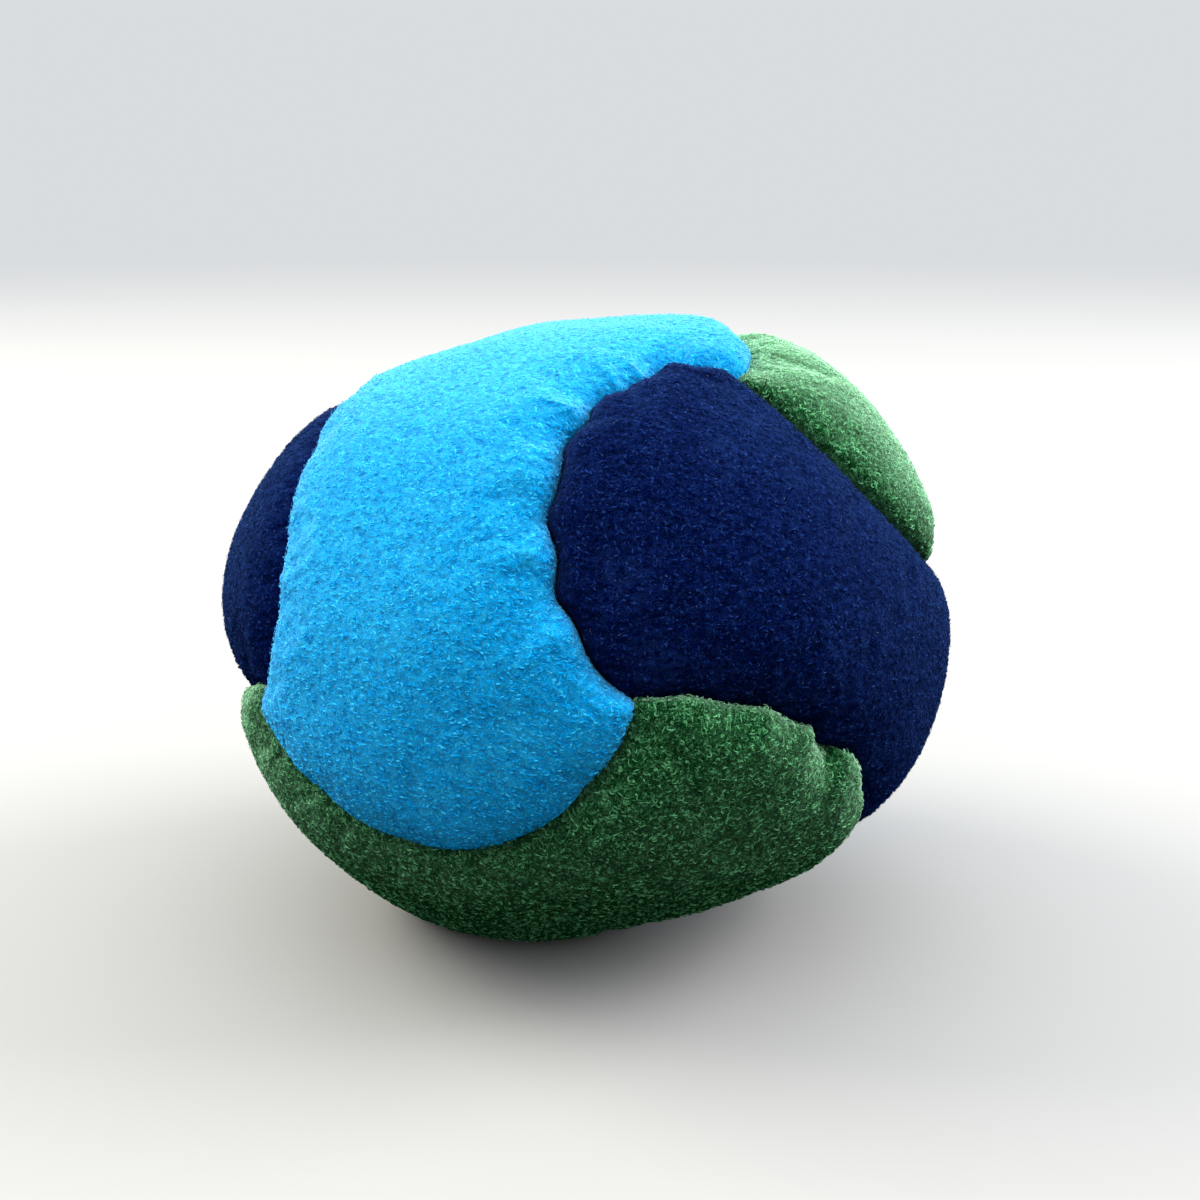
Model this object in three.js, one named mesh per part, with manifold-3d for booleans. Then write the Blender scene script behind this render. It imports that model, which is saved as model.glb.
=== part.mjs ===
// A hand-sewn juggling ball: six dog-bone panels of microsuede, turned in and
// ladder-stitched along twelve seams round a loose pellet filling.
//
// Millimetres, +Z up. The origin is on the surface the ball rests on, straight
// below the ball's centre. The ball's front faces -Y.
//
// Every panel is a curved four-sided patch between four seams. Its edges roll
// over into the seam and run on towards the ball's centre as a seam allowance,
// and the seam's thread crosses both allowances through holes.

import * as THREE from "three";
import { mergeVertices } from "three/addons/utils/BufferGeometryUtils.js";
import Module from "manifold-3d";

const wasm = await Module();
wasm.setup();

// The ball's body: half its width, depth and height before it settles.
const HALF_WIDTH = 36.1;
const HALF_DEPTH = 34.5;
const HALF_HEIGHT = 30.7;
const LEAN = 9.3; // degrees its long axis rises to the right
const CENTRE_HEIGHT = 27.6; // of the centre above the flat it has settled on
const MEAN_RADIUS = 34; // turns an angle at the centre into a length

// The cloth and how it rolls over into a seam.
const CLOTH = 0.8; // thickness
const SEAM_GAP = 0.3; // between two panels where they meet
const ALLOWANCE = 3.5; // depth of the turned-in edge below the fold
const EDGE_ROLL = 3.0; // width of the rolled edge
const ROLL_DEPTH = 2.4;
const DISH_DEPTH = 1.0; // shallower, wider dip either side of a seam
const DISH_WIDTH = 5.0;
const PUFF_WIDTH = 9.0; // distance over which a panel swells to its full puff
const ROLL_MIDDLE = 1.0; // where the roll has its extra ring of points

// The stitching.
const THREAD_RADIUS = 0.25;
const CLEARANCE = 0.2; // round the thread in its holes
const STITCH_SLANT = 0.2; // cells a crossing runs along the seam
const STITCH_DEPTH = 1.8; // below the fold
const STITCH_REACH = 1.75; // from the seam out to the thread's run inside the fold
const KNOT_RADIUS = 0.55;
const THREAD_SIDES = 5;
const HOLE_SIDES = 3;
const HOLE_RADIUS = (THREAD_RADIUS + CLEARANCE) / Math.cos(Math.PI / HOLE_SIDES);

// The filling.
const FILL_GAP = 0.8; // between the filling and the cloth
const FILL_GROOVE = 2.8; // half the width of the groove that clears a seam
const FILL_DEPTH = ALLOWANCE + 0.5; // of the groove below the fold

// Mesh fineness.
const CELLS = 8; // cells along each side of a panel, each with one stitch
const CURVE_STEPS = 240; // fine steps along a seam before it is respaced
const RELAX_PASSES = 300;
const MERGE_DISTANCE = 1e-4;

const COLOURS = { cyan: 0x1fa9dd, navy: 0x18234f, green: 0x35693f };

// Where the pellets push the body out, or leave it hollow: azimuth, elevation
// and width in degrees, and height in mm.
const BULGES = [
  [-75, 35, 25, 1.2],
  [-35, 70, 25, 0.4],
  [-50, -55, 22, 1],
  [-100, -20, 22, -3],
  [60, 60, 22, 0.7],
  [95, 25, 22, -1],
  [90, -25, 22, 0.1],
  [72, -46, 14, -1.6],
  [50, -65, 22, -2.8],
  [-75, -10, 15, -0.9],
  [100, 10, 15, -4.3],
];

// Where three seams meet, as azimuth and elevation seen from the centre, in
// degrees. Azimuth 0 is the front and grows towards +X.
const CORNERS = {
  a: [6.6, 5.4],
  b: [-57.4, -1.9],
  c: [54.4, 57.2],
  d: [57.6, -50.6],
  e: [97.2, 11.2],
  f: [-117.9, 43.0],
  g: [-174.4, -5.3],
  h: [-127.2, -56.3],
};

// Each panel: its corners, anticlockwise as seen from outside, and how far it
// stands out of the body.
const PANELS = {
  cyan_front: { corners: "acfb", colour: "cyan", puff: -1.3 },
  cyan_back: { corners: "dhge", colour: "cyan", puff: 0 },
  navy_right: { corners: "adec", colour: "navy", puff: -0.6 },
  navy_left: { corners: "bfgh", colour: "navy", puff: -0.2 },
  green_top: { corners: "cegf", colour: "green", puff: 0.8 },
  green_bottom: { corners: "abhd", colour: "green", puff: -1.3 },
};

// Each seam: its end corners, the panel whose rounded edge it follows, the
// panel that edge pushes into, the bow of the seam in degrees, how blunt the
// bow is (less is blunter), and how far it leans to the seam's second corner.
const SEAMS = [
  ["ab", "cyan_front", "green_bottom", 21, 0.81, -0.13],
  ["ac", "navy_right", "cyan_front", 24.3, 0.66, 0.06],
  ["ad", "green_bottom", "navy_right", 23.4, 0.76, 0.02],
  ["ce", "green_top", "navy_right", 19, 0.85, 0.09],
  ["bf", "navy_left", "cyan_front", 16, 0.62, -0.1],
  ["cf", "cyan_front", "green_top", 31.5, 0.7, 0],
  ["ge", "cyan_back", "green_top", 22, 0.7, 0],
  ["gh", "navy_left", "cyan_back", 22, 0.7, 0],
  ["gf", "green_top", "navy_left", 22, 0.7, 0],
  ["hb", "green_bottom", "navy_left", 15.9, 0.7, 0],
  ["ed", "navy_right", "cyan_back", 20.1, 0.7, 0],
  ["hd", "cyan_back", "green_bottom", 22, 0.7, 0],
].map(([ends, over, under, bow, blunt, skew]) => {
  return { ends, over, under, bow, blunt, skew };
});

const radians = THREE.MathUtils.degToRad;

function direction([azimuth, elevation]) {
  const [az, el] = [radians(azimuth), radians(elevation)];
  return new THREE.Vector3(
    Math.sin(az) * Math.cos(el),
    -Math.cos(az) * Math.cos(el),
    Math.sin(el),
  );
}

const cornerAt = (name) => direction(CORNERS[name]);

function panelCentre(panel) {
  const sum = new THREE.Vector3();
  for (const corner of panel.corners) sum.add(cornerAt(corner));
  return sum.normalize();
}

// --- Seams ------------------------------------------------------------------

// The seam as fine points on the unit sphere: the arc between its corners,
// bowed sideways into the panel on its hollow side.
function bowedArc(seam) {
  const start = cornerAt(seam.ends[0]);
  const end = cornerAt(seam.ends[1]);
  const angle = start.angleTo(end);
  const sideways = start.clone().cross(end).normalize();
  const into = panelCentre(PANELS[seam.under]).sub(panelCentre(PANELS[seam.over]));
  if (sideways.dot(into) < 0) sideways.negate();
  const points = [];
  for (let i = 0; i <= CURVE_STEPS; i++) {
    const t = i / CURVE_STEPS;
    const bow =
      radians(seam.bow) *
      (4 * t * (1 - t)) ** seam.blunt *
      (1 + seam.skew * (2 * t - 1));
    const point = start
      .clone()
      .multiplyScalar(Math.sin((1 - t) * angle) / Math.sin(angle))
      .addScaledVector(end, Math.sin(t * angle) / Math.sin(angle));
    points.push(
      point.multiplyScalar(Math.cos(bow)).addScaledVector(sideways, Math.sin(bow)),
    );
  }
  return points;
}

// The same seam as a chain of CELLS equal steps, shared by both its panels.
function seamChain(seam) {
  const fine = bowedArc(seam);
  const along = [0];
  for (let i = 1; i < fine.length; i++)
    along.push(along[i - 1] + fine[i].distanceTo(fine[i - 1]));
  const chain = [];
  let i = 0;
  for (let k = 0; k <= CELLS; k++) {
    const wanted = (along.at(-1) * k) / CELLS;
    while (i < fine.length - 2 && along[i + 1] < wanted) i++;
    const part = (wanted - along[i]) / (along[i + 1] - along[i]);
    chain.push(fine[i].clone().lerp(fine[i + 1], part).normalize());
  }
  return chain;
}

for (const seam of SEAMS) seam.chain = seamChain(seam);

function chainBetween(from, to) {
  const seam = SEAMS.find((s) => s.ends === from + to || s.ends === to + from);
  return seam.ends[0] === from ? seam.chain : [...seam.chain].reverse();
}

// --- The ball's surface -------------------------------------------------------

// Distance from the centre to the body's surface, before seams and puffs.
function bodyRadius(dir) {
  const lean = radians(LEAN);
  const x = dir.x * Math.cos(lean) + dir.z * Math.sin(lean);
  const z = dir.z * Math.cos(lean) - dir.x * Math.sin(lean);
  const plain = 1 / Math.hypot(x / HALF_WIDTH, dir.y / HALF_DEPTH, z / HALF_HEIGHT);
  return BULGES.reduce((radius, [azimuth, elevation, width, height]) => {
    const closeness = direction([azimuth, elevation]).dot(dir) - 1;
    return radius + height * Math.exp(closeness / (1 - Math.cos(radians(width))));
  }, plain);
}

// How far the rolled edge has dropped, `distance` mm in from where it starts.
function rollDrop(distance, rollWidth) {
  const x = THREE.MathUtils.clamp(1 - distance / rollWidth, 0, 1);
  return ROLL_DEPTH * (1 - Math.sqrt(1 - x * x));
}

const dishDrop = (distance) => DISH_DEPTH * Math.exp(-distance / DISH_WIDTH);
const foldRadius = (dir) => bodyRadius(dir) - ROLL_DEPTH - DISH_DEPTH;

// A point on a panel, `distance` mm in from its seams and `under` mm below the
// outer face of its cloth. Whatever would hang below the surface the ball
// rests on is flattened against it.
function clothPoint(dir, distance, panel, under) {
  const roll = rollDrop(distance - under, EDGE_ROLL - under);
  const puff = panel.puff * (1 - Math.exp(-((distance / PUFF_WIDTH) ** 2)));
  const radius = bodyRadius(dir) + puff - dishDrop(distance) - roll - under;
  const point = dir.clone().multiplyScalar(radius);
  point.z = Math.max(point.z, under - CENTRE_HEIGHT);
  return point;
}

// --- Loops of points round a panel ----------------------------------------------

// The panel's outline as one closed loop of directions, CELLS to a side,
// running anticlockwise as seen from outside.
function outline(panel) {
  const loop = [];
  for (let side = 0; side < 4; side++) {
    const from = panel.corners[side];
    const to = panel.corners[(side + 1) % 4];
    loop.push(...chainBetween(from, to).slice(0, CELLS));
  }
  return loop;
}

// The loop moved a distance in mm into the panel, mitred at its corners.
function inset(loop, distance) {
  const count = loop.length;
  const inward = loop.map((dir, i) => dir.clone().cross(loop[(i + 1) % count]).normalize());
  return loop.map((dir, i) => {
    const before = inward[(i + count - 1) % count];
    const mitre = before.clone().add(inward[i]).divideScalar(1 + before.dot(inward[i]));
    return mitre.multiplyScalar(distance / MEAN_RADIUS).add(dir).normalize();
  });
}

// --- The grid of points inside a loop --------------------------------------------

// Stereographic axes about a panel's centre.
function axesAbout(centre) {
  const x = new THREE.Vector3(0, 0, 1).cross(centre).normalize();
  return { x, y: centre.clone().cross(x), z: centre };
}

function toPlane(dir, axes) {
  const w = 1 + dir.dot(axes.z);
  return new THREE.Vector2(dir.dot(axes.x) / w, dir.dot(axes.y) / w);
}

function toSphere(p, axes) {
  const square = p.lengthSq();
  return new THREE.Vector3()
    .addScaledVector(axes.x, 2 * p.x)
    .addScaledVector(axes.y, 2 * p.y)
    .addScaledVector(axes.z, 1 - square)
    .divideScalar(1 + square);
}

// A first grid, blended from the four sides of the loop (a Coons patch).
function blendedGrid(loop) {
  const n = CELLS;
  const side = [0, 1, 2, 3].map((s) => {
    return Array.from({ length: n + 1 }, (_, k) => loop[(s * n + k) % loop.length]);
  });
  const grid = [];
  for (let i = 0; i <= n; i++) {
    const row = [];
    const u = i / n;
    for (let j = 0; j <= n; j++) {
      const v = j / n;
      const point = new THREE.Vector2()
        .addScaledVector(side[0][i], 1 - v)
        .addScaledVector(side[2][n - i], v)
        .addScaledVector(side[3][n - j], 1 - u)
        .addScaledVector(side[1][j], u)
        .addScaledVector(side[0][0], -(1 - u) * (1 - v))
        .addScaledVector(side[0][n], -u * (1 - v))
        .addScaledVector(side[2][0], -u * v)
        .addScaledVector(side[2][n], -(1 - u) * v);
      row.push(point);
    }
    grid.push(row);
  }
  return grid;
}

// Evens the grid out so that it never folds (elliptic, or Winslow, smoothing).
function relax(grid) {
  const n = CELLS;
  for (let pass = 0; pass < RELAX_PASSES; pass++) {
    for (let i = 1; i < n; i++) {
      for (let j = 1; j < n; j++) {
        const [east, west] = [grid[i + 1][j], grid[i - 1][j]];
        const [north, south] = [grid[i][j + 1], grid[i][j - 1]];
        const across = east.clone().sub(west).multiplyScalar(0.5);
        const along = north.clone().sub(south).multiplyScalar(0.5);
        const alpha = along.lengthSq();
        const gamma = across.lengthSq();
        const twist = grid[i + 1][j + 1]
          .clone()
          .sub(grid[i + 1][j - 1])
          .sub(grid[i - 1][j + 1])
          .add(grid[i - 1][j - 1])
          .multiplyScalar(-0.5 * across.dot(along));
        grid[i][j]
          .copy(east.clone().add(west).multiplyScalar(alpha))
          .addScaledVector(north.clone().add(south), gamma)
          .add(twist)
          .divideScalar(2 * (alpha + gamma));
      }
    }
  }
  return grid;
}

function gridInside(loop, centre) {
  const axes = axesAbout(centre);
  const flat = relax(blendedGrid(loop.map((dir) => toPlane(dir, axes))));
  return flat.map((row) => row.map((point) => toSphere(point, axes)));
}

// The grid's own edge, in the order of the loop it was made from.
function gridEdge(grid) {
  const n = CELLS;
  const edge = [];
  for (let k = 0; k < n; k++) edge.push(grid[k][0]);
  for (let k = 0; k < n; k++) edge.push(grid[n][k]);
  for (let k = n; k > 0; k--) edge.push(grid[k][n]);
  for (let k = n; k > 0; k--) edge.push(grid[0][k]);
  return edge;
}

// --- Solids ---------------------------------------------------------------------------

// Triangles gathered from bands and sheets of points.
class Skin {
  positions = [];

  triangle(...corners) {
    for (const corner of corners) this.positions.push(corner.x, corner.y, corner.z);
  }

  quad(p, q, r, s) {
    this.triangle(p, q, r);
    this.triangle(p, r, s);
  }

  // A ribbon between two closed loops of equal length.
  band(lower, upper) {
    for (let i = 0; i < lower.length; i++) {
      const j = (i + 1) % lower.length;
      this.quad(lower[i], lower[j], upper[j], upper[i]);
    }
  }

  sheet(grid) {
    for (let i = 0; i + 1 < grid.length; i++)
      for (let j = 0; j + 1 < grid.length; j++)
        this.quad(grid[i][j], grid[i + 1][j], grid[i + 1][j + 1], grid[i][j + 1]);
  }

  geometry() {
    const geometry = new THREE.BufferGeometry();
    return geometry.setAttribute("position", new THREE.Float32BufferAttribute(this.positions, 3));
  }
}

function solidOf(geometry) {
  geometry.deleteAttribute("normal");
  geometry.deleteAttribute("uv");
  const merged = mergeVertices(geometry, MERGE_DISTANCE);
  const vertProperties = merged.attributes.position.array;
  const triVerts = new Uint32Array(merged.index.array);
  return new wasm.Manifold(new wasm.Mesh({ numProp: 3, vertProperties, triVerts }));
}

function geometryOf(solid) {
  const { vertProperties, triVerts } = solid.getMesh();
  const geometry = new THREE.BufferGeometry();
  geometry.setAttribute("position", new THREE.BufferAttribute(vertProperties, 3));
  geometry.setIndex(new THREE.BufferAttribute(triVerts, 1));
  return geometry;
}

// --- Panels -------------------------------------------------------------------------

function distanceToEdge(dir, seamLine) {
  return Math.min(...seamLine.map((edge) => edge.angleTo(dir))) * MEAN_RADIUS;
}

// A panel's cloth: the outer face, the rolled edge, the allowance turned in
// towards the ball's centre, and the same again up the inside.
function panelSolid(panel) {
  const seamLine = outline(panel);
  const at = (distance) => inset(seamLine, distance);
  const ring = (distance, under) =>
    at(distance).map((dir) => clothPoint(dir, distance, panel, under));
  const hem = (distance, drop) =>
    at(distance).map((dir) => dir.clone().multiplyScalar(foldRadius(dir) - drop));
  const face = (under) =>
    panel.grid.map((row) =>
      row.map((dir) => clothPoint(dir, distanceToEdge(dir, seamLine), panel, under)),
    );

  const outerEdge = SEAM_GAP / 2;
  const innerEdge = outerEdge + CLOTH;
  const outside = face(0);
  const inside = face(CLOTH);
  const loops = [
    gridEdge(inside),
    ring(ROLL_MIDDLE + CLOTH, CLOTH),
    hem(innerEdge, CLOTH),
    hem(innerEdge, ALLOWANCE),
    hem(outerEdge, ALLOWANCE),
    hem(outerEdge, 0),
    ring(ROLL_MIDDLE, 0),
    gridEdge(outside),
  ];

  const skin = new Skin();
  for (let i = 0; i + 1 < loops.length; i++) skin.band(loops[i], loops[i + 1]);
  skin.sheet(outside);
  skin.sheet(inside.reverse());
  return solidOf(skin.geometry());
}

// --- Thread --------------------------------------------------------------------------

// A point beside a seam: `cell` cells along it, `across` mm to one side.
function besideSeam(chain, cell, across) {
  const i = Math.floor(cell);
  const dir = chain[i].clone().lerp(chain[i + 1], cell - i).normalize();
  const sideways = chain[i + 1].clone().sub(chain[i]).cross(dir).normalize();
  dir.addScaledVector(sideways, across / MEAN_RADIUS).normalize();
  return dir.multiplyScalar(foldRadius(dir) - STITCH_DEPTH);
}

// The thread crosses the seam, runs along inside the fold, and crosses back.
function stitchCrossings(chain) {
  return Array.from({ length: CELLS }, (_, cell) => {
    const across = cell % 2 ? STITCH_REACH : -STITCH_REACH;
    return [
      besideSeam(chain, cell + 0.5 - STITCH_SLANT / 2, across),
      besideSeam(chain, cell + 0.5 + STITCH_SLANT / 2, -across),
    ];
  });
}

// A path of straight runs that a tube follows with one ring at each point.
class RunPath extends THREE.Curve {
  constructor(points) {
    super();
    this.points = points;
  }

  getPointAt(u, target = new THREE.Vector3()) {
    return target.copy(this.points[Math.round(u * (this.points.length - 1))]);
  }

  getTangentAt(u, target = new THREE.Vector3()) {
    const last = this.points.length - 1;
    const i = Math.round(u * last);
    const run = (k) => this.points[k + 1].clone().sub(this.points[k]).normalize();
    return target.copy(run(Math.max(i - 1, 0))).add(run(Math.min(i, last - 1))).normalize();
  }
}

// The corners of a tube's cross-section, evenly spaced on a circle.
function crossSection(radius, sides) {
  const corners = Array.from({ length: sides }, (_, k) => {
    const angle = (2 * Math.PI * k) / sides;
    return new THREE.Vector2(radius * Math.cos(angle), radius * Math.sin(angle));
  });
  return new THREE.Shape(corners);
}

function tube(points, radius, sides) {
  const extrudePath = new RunPath(points);
  const steps = points.length - 1;
  return solidOf(new THREE.ExtrudeGeometry(crossSection(radius, sides), { extrudePath, steps }));
}

function knotAt(point) {
  const knot = new THREE.IcosahedronGeometry(KNOT_RADIUS, 0);
  return solidOf(knot.translate(point.x, point.y, point.z));
}

function threadSolid(crossings) {
  const path = crossings.flat();
  const thread = tube(path, THREAD_RADIUS, THREAD_SIDES);
  return thread.add(knotAt(path[0])).add(knotAt(path.at(-1)));
}

// The holes a seam's thread makes in the allowances on both sides.
function stitchHoles(crossings) {
  return crossings.map((crossing) => tube(crossing, HOLE_RADIUS, HOLE_SIDES));
}

// --- Filling -------------------------------------------------------------------------

// The pellets as one body that fills the cover and clears seams and thread.
function fillingSolid() {
  const skin = new Skin();
  for (const panel of Object.values(PANELS)) {
    const seamLine = outline(panel);
    const bottom = (distance) =>
      inset(seamLine, distance).map((dir) =>
        dir.clone().multiplyScalar(foldRadius(dir) - FILL_DEPTH),
      );
    const top = panel.grid.map((row) =>
      row.map((dir) => clothPoint(dir, distanceToEdge(dir, seamLine), panel, CLOTH + FILL_GAP)),
    );
    skin.band(bottom(0), bottom(FILL_GROOVE));
    skin.band(bottom(FILL_GROOVE), gridEdge(top));
    skin.sheet(top);
  }
  return solidOf(skin.geometry());
}

// --- The ball ------------------------------------------------------------------------

const clothMaterial = (colour) =>
  new THREE.MeshStandardMaterial({ color: COLOURS[colour], roughness: 0.95 });
const threadMaterial = new THREE.MeshStandardMaterial({ color: 0x1c1f33, roughness: 0.6 });
const pelletMaterial = new THREE.MeshStandardMaterial({ color: 0xcdb98a, roughness: 0.5 });

const ball = new THREE.Group();
ball.position.z = CENTRE_HEIGHT;

function addPiece(name, solid, material) {
  const mesh = new THREE.Mesh(geometryOf(solid), material);
  mesh.name = name;
  ball.add(mesh);
}

for (const panel of Object.values(PANELS))
  panel.grid = gridInside(inset(outline(panel), EDGE_ROLL), panelCentre(panel));

for (const [name, panel] of Object.entries(PANELS)) {
  const holes = SEAMS.filter((seam) => seam.over === name || seam.under === name)
    .flatMap((seam) => stitchHoles(stitchCrossings(seam.chain)));
  const pierced = holes.reduce((solid, hole) => solid.subtract(hole), panelSolid(panel));
  addPiece(`panel_${name}`, pierced, clothMaterial(panel.colour));
}

for (const { over, under, chain } of SEAMS) {
  const thread = threadSolid(stitchCrossings(chain));
  addPiece(`thread_${over}_to_${under}`, thread, threadMaterial);
}

addPiece("pellet_filling", fillingSolid(), pelletMaterial);

export default ball;
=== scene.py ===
"""The looks of a hand-sewn juggling ball: suede panels, stitching, pellets and a small studio.

Lengths are in millimetres until a mesh is made, and MM turns them into metres. Directions are
unit vectors from the ball's centre. The ball's front faces -Y.
"""

import math

import bmesh
import bpy
import numpy as np
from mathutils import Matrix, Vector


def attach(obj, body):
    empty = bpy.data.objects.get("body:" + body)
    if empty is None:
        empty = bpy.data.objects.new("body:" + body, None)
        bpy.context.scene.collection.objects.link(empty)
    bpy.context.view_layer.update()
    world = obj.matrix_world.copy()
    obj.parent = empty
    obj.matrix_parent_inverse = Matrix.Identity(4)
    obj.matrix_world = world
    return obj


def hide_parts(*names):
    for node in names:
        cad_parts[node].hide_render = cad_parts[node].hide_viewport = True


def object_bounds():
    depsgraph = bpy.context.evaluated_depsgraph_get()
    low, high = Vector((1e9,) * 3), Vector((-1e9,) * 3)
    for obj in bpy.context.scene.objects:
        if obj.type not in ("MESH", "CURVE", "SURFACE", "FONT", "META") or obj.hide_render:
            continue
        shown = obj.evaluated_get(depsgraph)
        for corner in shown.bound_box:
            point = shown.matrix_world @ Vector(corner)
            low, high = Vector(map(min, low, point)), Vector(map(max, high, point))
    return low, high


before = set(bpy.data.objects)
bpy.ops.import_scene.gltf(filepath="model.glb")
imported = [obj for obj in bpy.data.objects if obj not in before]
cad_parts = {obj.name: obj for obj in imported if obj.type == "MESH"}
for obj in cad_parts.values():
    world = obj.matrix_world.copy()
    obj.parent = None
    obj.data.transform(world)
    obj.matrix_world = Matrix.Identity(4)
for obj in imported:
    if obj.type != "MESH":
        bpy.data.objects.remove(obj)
CAD_LOW, CAD_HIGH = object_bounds()

# --- The ball's design, as the frame has it ---

DESIGN_WIDTH = 68.78  # the frame's width in mm at its nominal size
MM = (CAD_HIGH.x - CAD_LOW.x) / DESIGN_WIDTH
HALF_SIZES = np.array([36.1, 34.5, 30.7])  # of the body before it settles
LEAN = math.radians(9.3)  # its long axis rises to the right
CENTRE_HEIGHT = 27.6
MEAN_RADIUS = 34.0  # turns an angle at the centre into a length

# Where three seams meet: azimuth and elevation in degrees, azimuth 0 in front, growing to +X.
CORNERS = {
    "a": (6.6, 5.4),
    "b": (-57.4, -1.9),
    "c": (54.4, 57.2),
    "d": (57.6, -50.6),
    "e": (97.2, 11.2),
    "f": (-117.9, 43.0),
    "g": (-174.4, -5.3),
    "h": (-127.2, -56.3),
}

# Each panel: its corners anticlockwise from outside, its colour, and how far it stands out.
PANELS = {
    "cyan_front": ("acfb", "cyan", -1.3),
    "cyan_back": ("dhge", "cyan", 0.0),
    "navy_right": ("adec", "navy", -0.6),
    "navy_left": ("bfgh", "navy", -0.2),
    "green_top": ("cegf", "green", 0.8),
    "green_bottom": ("abhd", "green", -1.3),
}

# Each seam: its ends, the panel whose rounded edge it follows, the panel that edge pushes into,
# its bow in degrees, how blunt the bow is, its skew, and how hard its stitches pull. A pull above
# 0 gathers the panel that is pushed into, and there both edges roll down against each other; a
# pull below 0 gathers the rounded edge.
SEAMS = [
    ("ab", "cyan_front", "green_bottom", 21.0, 0.81, -0.13, -0.35),
    ("ac", "navy_right", "cyan_front", 24.3, 0.66, 0.06, 1.3),
    ("ad", "green_bottom", "navy_right", 23.4, 0.76, 0.02, -0.9),
    ("ce", "green_top", "navy_right", 19.0, 0.85, 0.09, -0.35),
    ("bf", "navy_left", "cyan_front", 16.0, 0.62, -0.10, 0.5),
    ("cf", "cyan_front", "green_top", 31.5, 0.70, 0.00, -0.5),
    ("ge", "cyan_back", "green_top", 22.0, 0.70, 0.00, -0.7),
    ("gh", "navy_left", "cyan_back", 22.0, 0.70, 0.00, 0.8),
    ("gf", "green_top", "navy_left", 22.0, 0.70, 0.00, -0.6),
    ("hb", "green_bottom", "navy_left", 15.9, 0.70, 0.00, -0.6),
    ("ed", "navy_right", "cyan_back", 20.1, 0.70, 0.00, 0.9),
    ("hd", "cyan_back", "green_bottom", 22.0, 0.70, 0.00, -0.5),
]

# Where the stitches pull on seams that are sewn unevenly, as shares of the seam's length, and
# how hard. The other seams are sewn evenly.
PULLS = {
    "ab": ((0.17, 0.9), (0.35, 0.4), (0.58, 0.4), (0.77, 0.8), (0.9, 0.4)),
    "ac": ((0.1, 0.4), (0.23, 1.0), (0.375, 0.7), (0.545, 0.6), (0.67, 1.1), (0.76, 0.5), (0.845, 2.1)),
    "ad": ((0.04, 0.5), (0.165, 0.8), (0.3, 0.8), (0.395, 1.5), (0.56, 0.4), (0.75, 0.5), (0.9, 0.5)),
    "ce": ((0.14, 0.8), (0.3, 0.8), (0.5, 0.8), (0.7, 0.8), (0.88, 0.8)),
    "bf": ((0.18, 0.8), (0.29, 0.7), (0.51, 0.9), (0.7, 0.8), (0.86, 0.8)),
}

# How soft the rounded edge is at the start and the end of a seam where both edges roll down. The
# other edge is as much crisper.
SOFTNESS = {"ac": (1.2, -0.2), "bf": (0.8, 0.8)}
EVEN_SOFTNESS = (0.5, 0.5)

# A small fold in the end of the bottom panel: its two ends in degrees, its depth, and its width
# on its left and right sides in mm.
TUCK_PANEL = "green_bottom"
TUCK_START = (37.5, -3.0)
TUCK_END = (40.5, -10.0)
TUCK_DEPTH = 2.4
TUCK_WIDTHS = (0.42, 1.68)
TUCK_FADE = 0.7  # how it gets shallower along its length, as a power

# Where the pellets push the body out: azimuth, elevation and width in degrees, height in mm.
BULGES = [
    (-75, 35, 25, 1.2),
    (-35, 70, 25, 0.4),
    (-50, -55, 22, 1.0),
    (-100, -20, 22, -3.0),
    (60, 60, 22, 0.7),
    (95, 25, 22, -1.0),
    (90, -25, 22, 0.1),
    (72, -46, 14, -1.6),
    (50, -65, 22, -2.8),
    (-75, -10, 15, -0.9),
    (100, 10, 15, -4.3),
]

# --- Fineness ---

SEAM_SAMPLES = 401
COARSE_CELLS = 9  # along a panel's side, before the doublings below
DOUBLINGS = 5
FACE_CELLS = COARSE_CELLS * 2**DOUBLINGS
LINING_CELLS = 36
RELAX_PASSES = (400, 150, 100, 60, 30, 15)
RELAX_STEP = 0.9

# --- The cloth ---

CLOTH = 0.8  # thickness
SEAM_GAP = 0.2
ALLOWANCE = 3.5  # depth of the turned-in edge below the fold
FOLD_DEPTH = 3.4  # of the seam below the body's surface
OVER_ROLL = 3.2  # width of the rounded edge that pushes into its neighbour
OVER_DIP = 0.8  # of that depth, the part that is a wide dip
OVERHANG = 0.9  # how far the rounded edge leans out over the seam
UNDER_ROLL = 1.7  # the same two for the edge that is pushed into
UNDER_DIP = 2.5
BUTTED_ROLL = (2.4, 3.3)  # the same two where both edges roll down: a crisp edge and a soft one
BUTTED_DIP = (0.9, 1.6)
HEM_DROPS = (0.8, 1.8, ALLOWANCE - 0.3, ALLOWANCE)  # the rings of vertices below the fold
LINING_DROP = CLOTH + 0.6  # below the fold, where the lining meets the turned-in edge
DIP_WIDTH = 4.0
PUFF_WIDTH = 9.0
STITCH_PITCH = 6.3
STITCH_STRAY = 0.12  # how uneven the pitch is
WEAKEST_PULL = 0.6
WAVE_HEIGHT = 0.85  # sideways, of a seam pulled in by its stitches
WAVE_LEVEL = 0.35  # the pull at which a seam keeps its place
PUCKER_DEPTH = 0.55
PUCKER_LEVEL = 0.3  # the pull at which the cloth keeps its height
PUCKER_REACH = 1.9  # how far into a panel the puckers run
PULL_WIDTH = 2.0  # half the length of seam that one stitch pulls in
OTHER_SHARE = 0.15  # of the puckers, on the side that is gathered less
CORNER_SHARPNESS = 5  # how little two edges add up where they meet
FLOOR_BLEND = 1.2  # how softly the underside turns on to the floor
FLOOR_CLEARANCE = 0.02
LUMP_HEIGHT = 0.35
LUMP_SIZE = 11.0
LUMP_WAVES = 24
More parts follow.
